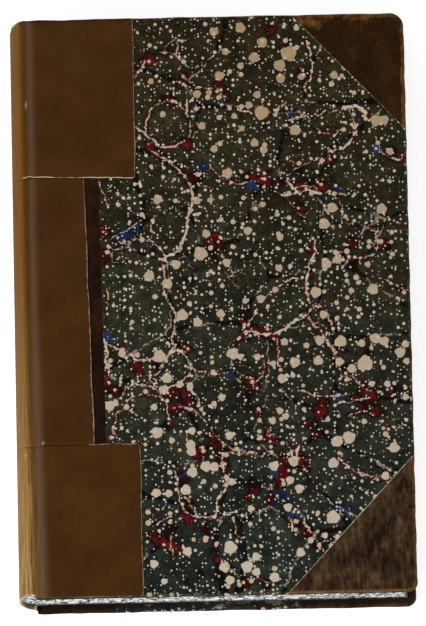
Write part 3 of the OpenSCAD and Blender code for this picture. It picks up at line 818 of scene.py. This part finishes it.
def old_paper(name, codes):
    """Old rag paper or board: cream, foxed in small brown clouds, with a faint fibre."""
    material, tree = new_material(name)
    place = object_place(tree)
    cloud = noise(tree, place, size=22 * MM, detail=8.0, rough=0.6)
    colour = toned(tree, cloud, *zip((0.3, 0.5, 0.72), codes))
    fox = add(tree, "TexVoronoi", {"Vector": place, "Scale": 1 / (13 * MM), "Randomness": 1.0})
    colour = mixed(tree, ranged(tree, fox.outputs["Distance"], 0.13, 0.02, 0.0, 0.5), colour, "#9A7444")
    fibre = noise(tree, place, size=0.9 * MM, detail=3.0)
    close_material(tree, colour, ranged(tree, fibre, 0, 1, 0.78, 0.92), fibre, 0.03)
    return material


def hemp():
    """Hemp sewing cord: pale, twisted yarns."""
    material, tree = new_material("hemp_cord")
    inputs = {"Vector": object_place(tree), "Scale": 1 / (CORD_PITCH * MM) / WAVES, "Distortion": 2.0}
    twist = add(tree, "TexWave", inputs, bands_direction="DIAGONAL").outputs["Fac"]
    close_material(tree, toned(tree, twist, (0.2, "#A8946A"), (0.8, "#D8CBA6")), 0.85, twist, 0.2)
    return material


MARBLED = marbled_paper()
CLOTH = bookcloth()
OLD_LEATHER = leather("old_calf_leather", ("#1B0D04", "#251205", "#331A08"), "#6B4020", (1.0, 0.5, 1.0))
HEAD_LEATHER = leather("head_corner_leather", ("#2C1705", "#331C06", "#3B2407"), "#85572A", (1.0, 0.5, 1.0))
TAIL_LEATHER = leather("tail_corner_leather", ("#1F1209", "#44301D", "#684C30"), "#8A5E30", (3.6, 1.2, 1.0))
RAW_LEATHER = leather("raw_cut_leather", ("#8E7A58", "#A8946C", "#C0AE88"), "#CFC0A0", (1.0, 1.0, 1.0))
LEAF_EDGES = marbled_edges()
LEAF = old_paper("rag_paper", ("#CDBE98", "#DDD0AE", "#E7DCC0"))
ENDPAPER = old_paper("endpaper", ("#C6B48A", "#D8C8A0", "#E3D6B4"))
PASTEBOARD = old_paper("pasteboard", ("#8C7B58", "#A08E68", "#B09E78"))
LINING = old_paper("lining_paper", ("#A89870", "#B8A880", "#C6B890"))
CORD = hemp()


# Pieces

# Places on the front head corner where the leather is worn to ochre, read off the photo like the spots.
WORN_PLACES = [
    (304, 19, 4), (310, 18, 6), (317, 21, 5), (323, 18, 3), (345, 13, 3), (355, 13, 4), (364, 14, 4),
    (373, 12, 3)]
# How uneven their rims are, and how rubbed: at the rim, more for each millimetre inside, and at most.
WORN_RIM = 0.12
WORN_RUB = 0.72
WORN_MORE = 0.2
WORN_MOST = 0.95
# Where a covering is most rubbed, from its edge, and how far that reaches, on worn corners and elsewhere.
RUB_AT = -0.4
WORN_REACH = 2.0
RUB_REACH = 1.3
# Where the painted shade on the turned-in part starts beyond the edge, and how soon it is full.
TURN_IN_SHADE_START = 2.4
TURN_IN_SHADE_RUN = 1.5
# Width of the raw line beside a cut edge of the paper, and how clear it is at head, tail and spine side.
CUT_WIDTH = 0.45
CUT_CLEAR = (0.8, 1.0, 0.6)
# The paper's edge on the old leather was cut a little askew, from a sheet with some to spare.
PAPER_SHORT = 0.6
PAPER_LEAN = -0.0108
PAPER_SPARE = 2
# How far the paper lies over the leather, and how much lower the leather lies.
TUCK = 3.0
UNDER = 0.12
# Where the leather starts from the joint, and its cells.
LEATHER_START = 0.2
LEATHER_CELL = 0.8
STRIP_CELL = 1.2


def trimmed_edge(cuts):
    """How near the cut lines of the paper are, where its raw edge shows."""
    def marks(flat):
        trim = np.zeros(len(flat))
        for ((u, y), (n_u, n_y)), clear in zip(cuts, CUT_CLEAR):
            away = np.abs((flat[:, 0] - u) * n_u + (flat[:, 1] - y) * n_y) / math.hypot(n_u, n_y)
            trim = np.maximum(trim, clear * hump(away, 0, CUT_WIDTH))
        return {"trim": trim}
    return marks


def rubbed_edge(head_r, seed, places=()):
    """How rubbed a covering is: most along the board's edges and in some places; and where painted shade lies
    on its turned-in part.
    """
    def marks(flat):
        out, *_ = edge_distance(flat[:, 0], flat[:, 1], head_r, CORNER_R, seed)
        raw = hump(out, RUB_AT, WORN_REACH if places else RUB_REACH)
        if places:
            worn = blots(flat[:, :2], on_board(places), WORN_RIM, np.random.default_rng(seed))
            raw = np.maximum(raw, np.clip(WORN_RUB + WORN_MORE * worn, 0, WORN_MOST))
        return {"raw": raw, "turn_in_shade": np.clip((out - TURN_IN_SHADE_START) / TURN_IN_SHADE_RUN, 0, 1)}
    return marks


def diagonal(legs, end):
    """A point on the cut line of a corner leather, and the direction from it to the corner."""
    leg_u, leg_y = legs
    return (COVER_W - leg_u, end * HALF_H), (leg_y, end * leg_u)


def covering(side_name, side, head_legs, tail_legs, head_r, seed, cell):
    """The leather and marbled paper of one cover, turned over the edges of its board."""
    body = side_name + "_cover"
    span = (-HALF_H - OVER_EDGE, HALF_H + OVER_EDGE)
    fold_over = fold_cover(SKIN_V, head_r, CORNER_R, seed)
    fold_under = fold_cover(SKIN_V - UNDER, head_r, CORNER_R, seed)
    rub = rubbed_edge(head_r, seed)
    spine_cut = ((LEATHER_W + PAPER_SHORT, 0.0), (-1.0, PAPER_LEAN))
    cuts = (diagonal(head_legs, 1), diagonal(tail_legs, -1), spine_cut)

    paper = grid_flat((LEATHER_W - PAPER_SPARE, COVER_W + OVER_EDGE), span, cell, cell)
    for point, normal in cuts:
        cut_flat(paper, point, normal)
    marble = marbled_marks(side_name == "front", seed)
    trim = trimmed_edge(cuts)
    piece = make_piece(side_name + "_marbled_sheet", paper, fold_over, [MARBLED], side,
                       lambda flat: {**marble(flat), **rub(flat), **trim(flat)})
    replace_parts(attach(piece, body), side_name + "_marbled_paper")

    for end_name, end, legs, material in (
            ("head", 1, head_legs, HEAD_LEATHER), ("tail", -1, tail_legs, TAIL_LEATHER)):
        point, normal = diagonal(legs, end)
        leg_u, leg_y = legs
        u_range = (COVER_W - leg_u - 2 * TUCK, COVER_W + OVER_EDGE)
        y_range = sorted((end * (HALF_H - leg_y - 2 * TUCK), end * (HALF_H + OVER_EDGE)))
        corner = grid_flat(u_range, y_range, LEATHER_CELL, LEATHER_CELL)
        length = math.hypot(*normal)
        kept = (point[0] - TUCK * normal[0] / length, point[1] - TUCK * normal[1] / length)
        cut_flat(corner, kept, (-normal[0], -normal[1]))
        places = WORN_PLACES if (side_name, end_name) == ("front", "head") else ()
        piece = make_piece(f"{side_name}_{end_name}_corner_skin", corner, fold_under, [material], side,
                           rubbed_edge(head_r, seed, places))
        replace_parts(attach(piece, body), f"{side_name}_{end_name}_corner")

    strip = grid_flat((LEATHER_START, LEATHER_W + TUCK), span, LEATHER_CELL, STRIP_CELL)
    piece = make_piece(side_name + "_leather_skin", strip, fold_under, [OLD_LEATHER], side, rub)
    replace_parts(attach(piece, body), side_name + "_leather_side")


# How the cloth fades from the spine over the joint, by the run in millimetres from the joint; over the groove
# and the board's edge the share is painted lightening against the groove's shade.
FADE_AND_LIGHT_RUN = (-4.6, -3.2, -2.2, 0.0, 2.5, 4.5)
FADE_AND_LIGHT_SHARE = (1.0, 0.7, 0.3, 0.2, 0.1, 0.0)
# The golden band reaches further out towards the tail.
FADE_HEIGHT = (-115, -60, 0, 110)
FADE_SHIFT = (2.6, 1.6, 0.4, 0.0)
# The painted sheen beside it: how grey, how far from the joint, how wide.
PAINTED_SHEEN = (0.3, 1.2, 1.6)
# The tape was laid a little askew: the head patch's lower edge drops outwards, the strip's side leans.
PATCH_DROP = 1.0
STRIP_WIDER = 0.72
STRIP_LEAN = -0.0216
# Unevenness and wave length of the tape's free side, and how closely that keeps to the side.
SIDE_WAVE = (0.22, 37)
SIDE_POWER = 8
# The same for its seams, and their pull over the joint: height, distance from the joint, half width.
HEAD_SEAM = (0.2, 26)
HEAD_PULL = (0.6, 0, 2.2)
TAIL_SEAM = (0.2, 24)
TAIL_PULL = (-0.7, 1, 2.5)
# The head edge stands up at the joint, and falls on the spine: by how much, from where, over what run.
CAP_PULL = (0.5, 0, 2)
CAP_FALL = (1.3, 3, 10)
# What is left open between the strip and the tail patch.
SEAM_GAP = 0.04
# How far onto the spine the head patch's pale thread goes, and how far from a cut edge the distance is kept.
THREAD_END = 3
CUT_FAR = 20
# Radius of the patches' free corners.
PATCH_R = 1.6
# The way over the joint in which the tail patch's lower edge steps from the spine to the board.
STEP_RUN = 3
# Cells of the tape, along its run and its height.
TAPE_CELLS = (0.5, 0.9)
# Nicks and specks of the front half: run from the joint, height, half length and half width in millimetres,
# and how pale they are.
NICKS = ((-0.6, 84.5, 1.3, 0.35), (-3.8, -60.5, 0.6, 0.4), (4.5, -56.2, 0.5, 0.4))
NICK_PALE = 0.6


def pulled(run, height, at, half):
    """How far an edge of the tape is pulled up over the joint."""
    return height * hump(run, JOINT_RUN + at, half)


def head_seam(run, seed):
    """The uneven lower edge of the head patch."""
    return waver(run, *HEAD_SEAM, seed) + pulled(run, *HEAD_PULL)


def tail_seam(run, seed):
    """The uneven seam where the tail patch meets the strip."""
    return waver(run, *TAIL_SEAM, seed) + pulled(run, *TAIL_PULL)


def head_cap(run):
    """The head edge of the tape."""
    fall, start, over = CAP_FALL
    return pulled(run, *CAP_PULL) - fall * np.clip((JOINT_RUN - run - start) / over, 0, 1)


def tape(name, side_name, side, width, low_y, high_y, low_spine_y, wavy, seed, nodes):
    """Half a piece of tape, from the middle of the spine across the joint to its cut edge on the board."""
    end = run_at(width)
    cell_run, cell_y = TAPE_CELLS
    bm = grid_flat((0, end), (0, 1), cell_run, cell_y / (high_y - low_y))
    bmesh.ops.solidify(bm, geom=bm.faces[:], thickness=TAPE_T)
    for vert in bm.verts:
        vert.co.z = -abs(vert.co.z)
    bmesh.ops.recalc_face_normals(bm, faces=bm.faces[:])
    free_low, free_high = wavy

    def place(flat):
        run, share = flat[:, 0], flat[:, 1]
        ease = np.clip((run - JOINT_RUN + STEP_RUN / 2) / STEP_RUN, 0, 1)
        low = low_spine_y + (low_y - low_spine_y) * ease + free_low * head_seam(run, seed)
        high = high_y + free_high * tail_seam(run, seed + 1)
        if low_y == TAIL_PATCH_Y:
            low = low + tail_seam(run, seed + 5) + SEAM_GAP
        if high_y > HEAD_PATCH_Y:
            high = high + head_cap(run)
        drop = PATCH_DROP * np.clip((run - JOINT_RUN) / (run_at(PATCH_W) - JOINT_RUN), 0, 1)
        low = low - drop * (low_y == HEAD_PATCH_Y)
        high = high - drop * (high_y == HEAD_PATCH_Y)
        y = low + (high - low) * share
        askew = (STRIP_WIDER + STRIP_LEAN * y) * (width == STRIP_W)
        run = run + np.clip(run / end, 0, 1) ** SIDE_POWER * (waver(y, *SIDE_WAVE, seed + 2) + askew)
        # The free corners are rounded off.
        for free, limit, sign in ((free_low, low, -1), (free_high, high, 1)):
            if free:
                d_run = run - (end - PATCH_R)
                d_y = sign * (y - limit) + PATCH_R
                corner = (d_run > 0) & (d_y > 0)
                reach = np.maximum(np.hypot(d_run, d_y), 1e-9)
                inner = np.where(corner, np.minimum(1, PATCH_R / reach), 1)
                run = np.where(corner, end - PATCH_R + d_run * inner, run)
                y = np.where(corner, limit + sign * (d_y * inner - PATCH_R), y)
        return run, y, low, high

    def fold(flat):
        run, y, *_ = place(flat)
        u, v = on_profile(run, -flat[:, 2])
        return u, y, v

    def marks(flat):
        run, y, low, high = place(flat)
        cut = end - flat[:, 0]
        if free_low:
            # On the spine, this edge is rubbed down and shows no pale thread.
            cut = np.where(run > JOINT_RUN - THREAD_END, np.minimum(cut, y - low), cut)
        if free_high:
            # This edge shows none on the spine and over the strip.
            cut = np.where(run > run_at(STRIP_W) - 1, np.minimum(cut, high - y), cut)
        if low_y < TAIL_PATCH_Y:
            # The spine's tail is frayed too.
            cut = np.where(run < JOINT_RUN, np.minimum(cut, y - low), cut)
        beyond = run - JOINT_RUN
        band = beyond - np.interp(y, FADE_HEIGHT, FADE_SHIFT)
        grey, grey_at, grey_half = PAINTED_SHEEN
        nick = np.zeros(len(run))
        for at, height, length, half in NICKS if side > 0 else ():
            nick = np.maximum(nick, NICK_PALE * hump(beyond, at, half) * hump(y, height, length))
        return {"cut": np.clip(cut, 0, CUT_FAR), "faded": np.interp(band, FADE_AND_LIGHT_RUN, FADE_AND_LIGHT_SHARE),
                "painted_sheen": grey * hump(band, grey_at, grey_half), "nick": nick,
                "cloth": np.stack([run, y, np.zeros(len(run))], axis=1)}

    piece = make_piece(name, bm, fold, [CLOTH], side, marks)
    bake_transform(piece)
    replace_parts(piece, *nodes)


# Across the joint, the paper lies on the shoulder of the block and then on the board's edge. Only the short
# way between bends.
ENDPAPER_PATH = np.array([
    (0.9, 14.43), (0.45, 14.75), (0.18, 15.2), (0.13, 15.7), (-0.14, 16.2), (0.15, 16.28), (0.7, 16.35),
    (1.2, 16.5), (1.5, 16.2), (1.56, 15.2), (1.9, 14.84), (2.6, 14.72), (3.2, PASTE_V),
    (COVER_W - PASTE_MARGIN, PASTE_V)])
# Cells of the endpaper: along the joint's bends, along its height, and how many across the board.
JOINT_CELLS = (0.12, 6)
BOARD_CELLS = 24


def made_of(kind, made):
    """Those of the made elements that are of one kind."""
    return [element for element in made if isinstance(element, kind)]


def endpaper(side_name, side):
    """The paper pasted down inside a cover, carried over the joint to the text block."""
    run = run_along(ENDPAPER_PATH)
    bend = run[-2]
    half = HALF_H - PASTE_MARGIN
    bm = grid_flat((0, bend), (-half, half), *JOINT_CELLS)
    rim = [e for e in bm.edges if all(abs(v.co.x - bend) < 1e-4 for v in e.verts)]
    for _ in range(BOARD_CELLS):
        made = bmesh.ops.extrude_edge_only(bm, edges=rim)["geom"]
        step = ((run[-1] - bend) / BOARD_CELLS, 0, 0)
        bmesh.ops.translate(bm, verts=made_of(bmesh.types.BMVert, made), vec=step)
        rim = made_of(bmesh.types.BMEdge, made)
    bmesh.ops.recalc_face_normals(bm, faces=bm.faces[:])
    if bm.faces[:][0].normal.z < 0:
        bmesh.ops.reverse_faces(bm, faces=bm.faces[:])

    def fold(flat):
        u, v = (np.interp(flat[:, 0], run, ENDPAPER_PATH[:, k]) for k in (0, 1))
        return u, flat[:, 1], v
    piece = make_piece(side_name + "_endpaper", bm, fold, [ENDPAPER], side, inside_out=True)
    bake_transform(piece)
    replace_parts(piece, side_name + "_pastedown")


# Rows of leaves in the text block, cells across them, lengths along the spine, unevenness of their edges.
LEAF_ROWS = 72
LEAF_CELL = 0.05
LEAF_LENGTHS = 10
LEAF_UNEVEN = 0.14
LEAF_SEED = 17
# The outer leaves bend out at the shoulder: where that starts, how far it takes and how high it goes.
LEAF_BEND_U = 0.8
LEAF_BEND_RUN = 2
LEAF_BEND_V = 1.6
# The outer leaves' faces are plain paper: how near to the outside they lie, and how flat.
FACE_DEPTH = 0.2
FACE_FLAT = 0.8


def leaves():
    """The text block: leaves with uneven edges, bent to a shoulder at each joint, hollow at the fore-edge."""
    bm = grid_flat((0, 1), (-1, 1), LEAF_CELL, 2 / LEAF_ROWS)
    cap = bm.faces[:]
    for _ in range(LEAF_LENGTHS):
        made = bmesh.ops.extrude_face_region(bm, geom=cap)["geom"]
        bmesh.ops.translate(bm, verts=made_of(bmesh.types.BMVert, made), vec=(0, 0, 1 / LEAF_LENGTHS))
        cap = made_of(bmesh.types.BMFace, made)
    bmesh.ops.recalc_face_normals(bm, faces=bm.faces[:])
    random = np.random.default_rng(LEAF_SEED)
    uneven = {end: random.normal(0, LEAF_UNEVEN, LEAF_ROWS + 1) for end in ("fore", "head", "tail")}

    def fold(flat):
        along, level, height = flat.T
        row = np.rint((level + 1) / 2 * LEAF_ROWS).astype(int)
        v = level * BLOCK_V
        rise = np.sqrt(BACK_R ** 2 - v ** 2)
        back = SPINE_U - rise
        fore = FORE_U + math.sqrt(BACK_R ** 2 - BLOCK_V ** 2) - rise
        u = back + (fore - back) * along
        bend = np.clip((LEAF_BEND_U - u) / LEAF_BEND_RUN, 0, 1)
        v = v + np.sign(level) * np.abs(level) ** 3 * LEAF_BEND_V * bend * bend * (3 - 2 * bend)
        u = u + uneven["fore"][row] * (along > 0.999)
        y = BLOCK_H * (2 * height - 1)
        y = y + uneven["head"][row] * (height > 0.999) - uneven["tail"][row] * (height < 0.001)
        return u, y, v
    piece = make_piece("text_leaves", bm, fold, [LEAF_EDGES, LEAF], smooth=False, inside_out=True)
    for polygon in piece.data.polygons:
        outer = abs(polygon.center.z - HALF_T * MM) > (BLOCK_V - FACE_DEPTH) * MM
        polygon.material_index = int(outer and abs(polygon.normal.z) > FACE_FLAT)
    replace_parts(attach(piece, "book_block"), "text_block")


leaves()
covering("front", 1, FRONT_HEAD_LEGS, FRONT_TAIL_LEGS, BLUNT_R, seed=3, cell=0.62)
covering("back", -1, BACK_LEGS, BACK_LEGS, CORNER_R, seed=8, cell=0.9)
# Pieces of tape: name, board node and spine node, then width, lower and upper edge, lower edge on the spine,
# and which of the two edges waver.
TAPES = (
    ("head_tape", "head_patch", "spine_head_patch",
     PATCH_W, HEAD_PATCH_Y, HALF_H - EDGE_GAP, HEAD_PATCH_Y, (1, 0)),
    ("middle_tape", "spine_strip", "spine_strip",
     STRIP_W, TAIL_PATCH_Y, HEAD_PATCH_Y, TAIL_PATCH_Y, (0, 0)),
    ("tail_tape", "tail_patch", "spine_tail_patch",
     PATCH_W, EDGE_GAP - HALF_H, TAIL_PATCH_Y, SPINE_TAIL_Y, (0, 1)))
for side_name, side, seed in (("front", 1, 20), ("back", -1, 40)):
    endpaper(side_name, side)
    for number, (name, board_node, spine_node, *sizes) in enumerate(TAPES):
        nodes = (f"{side_name}_{board_node}", spine_node)
        tape(f"{side_name}_{name}", side_name, side, *sizes, seed + 4 * number, nodes)

for name, material in (
        ("front_board", PASTEBOARD), ("back_board", PASTEBOARD), ("spine_leather", RAW_LEATHER),
        ("spine_lining", LINING), ("sewing_cords", CORD)):
    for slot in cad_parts[name].material_slots:
        slot.material = material

# Floor, light and camera

FLOOR_HALF = 2.0
FLOOR_LIFT = 0.7
SKY = 0.45

floor_bm = bmesh.new()
bmesh.ops.create_grid(floor_bm, x_segments=1, y_segments=1, size=FLOOR_HALF)
floor_mesh = bpy.data.meshes.new("floor")
floor_bm.to_mesh(floor_mesh)
floor_bm.free()
show("floor", floor_mesh)
# White paper floor: it keeps the book's shadow, and is lifted to white only where the camera sees it.
floor_material, tree = new_material("white_floor")
matt = add(tree, "BsdfDiffuse", {0: "#E6E6E6"})
lift = maths(tree, "MULTIPLY", add(tree, "LightPath").outputs["Is Camera Ray"], FLOOR_LIFT)
glow = add(tree, "Emission", {0: "#FFFFFF", 1: lift})
both = add(tree, "AddShader", {0: matt.outputs[0], 1: glow.outputs[0]})
add(tree, "OutputMaterial", {0: both.outputs[0]})
floor_mesh.materials.append(floor_material)

world = bpy.data.worlds.new("studio")
world.use_nodes = True
sky = world.node_tree.nodes["Background"].inputs
sky["Color"].default_value = (1, 1, 1, 1)
sky["Strength"].default_value = SKY
bpy.context.scene.world = world

# A window beside the spine, towards the tail.
LAMP_PLACE = Vector((-1.05, -0.8, 0.9))
LAMP_SIZE = 0.7
LAMP_POWER = 22
lamp_data = bpy.data.lights.new("window", "AREA")
lamp_data.size = LAMP_SIZE
lamp_data.energy = LAMP_POWER
lamp = show("window", lamp_data)
lamp.location = LAMP_PLACE
lamp.rotation_mode = "QUATERNION"
lamp.rotation_quaternion = (Vector((0, 0, HALF_T * MM)) - LAMP_PLACE).to_track_quat("-Z", "Y")

# A far camera above the front cover, tilted to the tail and turned a little, as the photo was taken.
TILT_TAIL = 12.0
ROLL = -1.197
DISTANCE = 4.0
PIXELS_PER_MM = 2.4673
PHOTO_HEIGHT = 626
SENSOR = 36
SIGHT = 20
AIM = Vector((0.36, -3.82, 2 * HALF_T)) * MM
back = Vector((0, -math.tan(math.radians(TILT_TAIL)), 1)).normalized()
right = Matrix.Rotation(math.radians(ROLL), 3, back) @ Vector((0, 1, 0)).cross(back).normalized()
up = back.cross(right)
camera_data = bpy.data.cameras.new("camera")
camera_data.sensor_width = SENSOR
camera_data.lens = PIXELS_PER_MM * DISTANCE / MM / PHOTO_HEIGHT * SENSOR
camera_data.clip_end = SIGHT
camera = show("camera", camera_data)
turned = Matrix((right, up, back)).transposed().to_4x4()
camera.matrix_world = Matrix.Translation(AIM + back * DISTANCE) @ turned
bpy.context.scene.camera = camera
bpy.context.scene.view_settings.view_transform = "Standard"
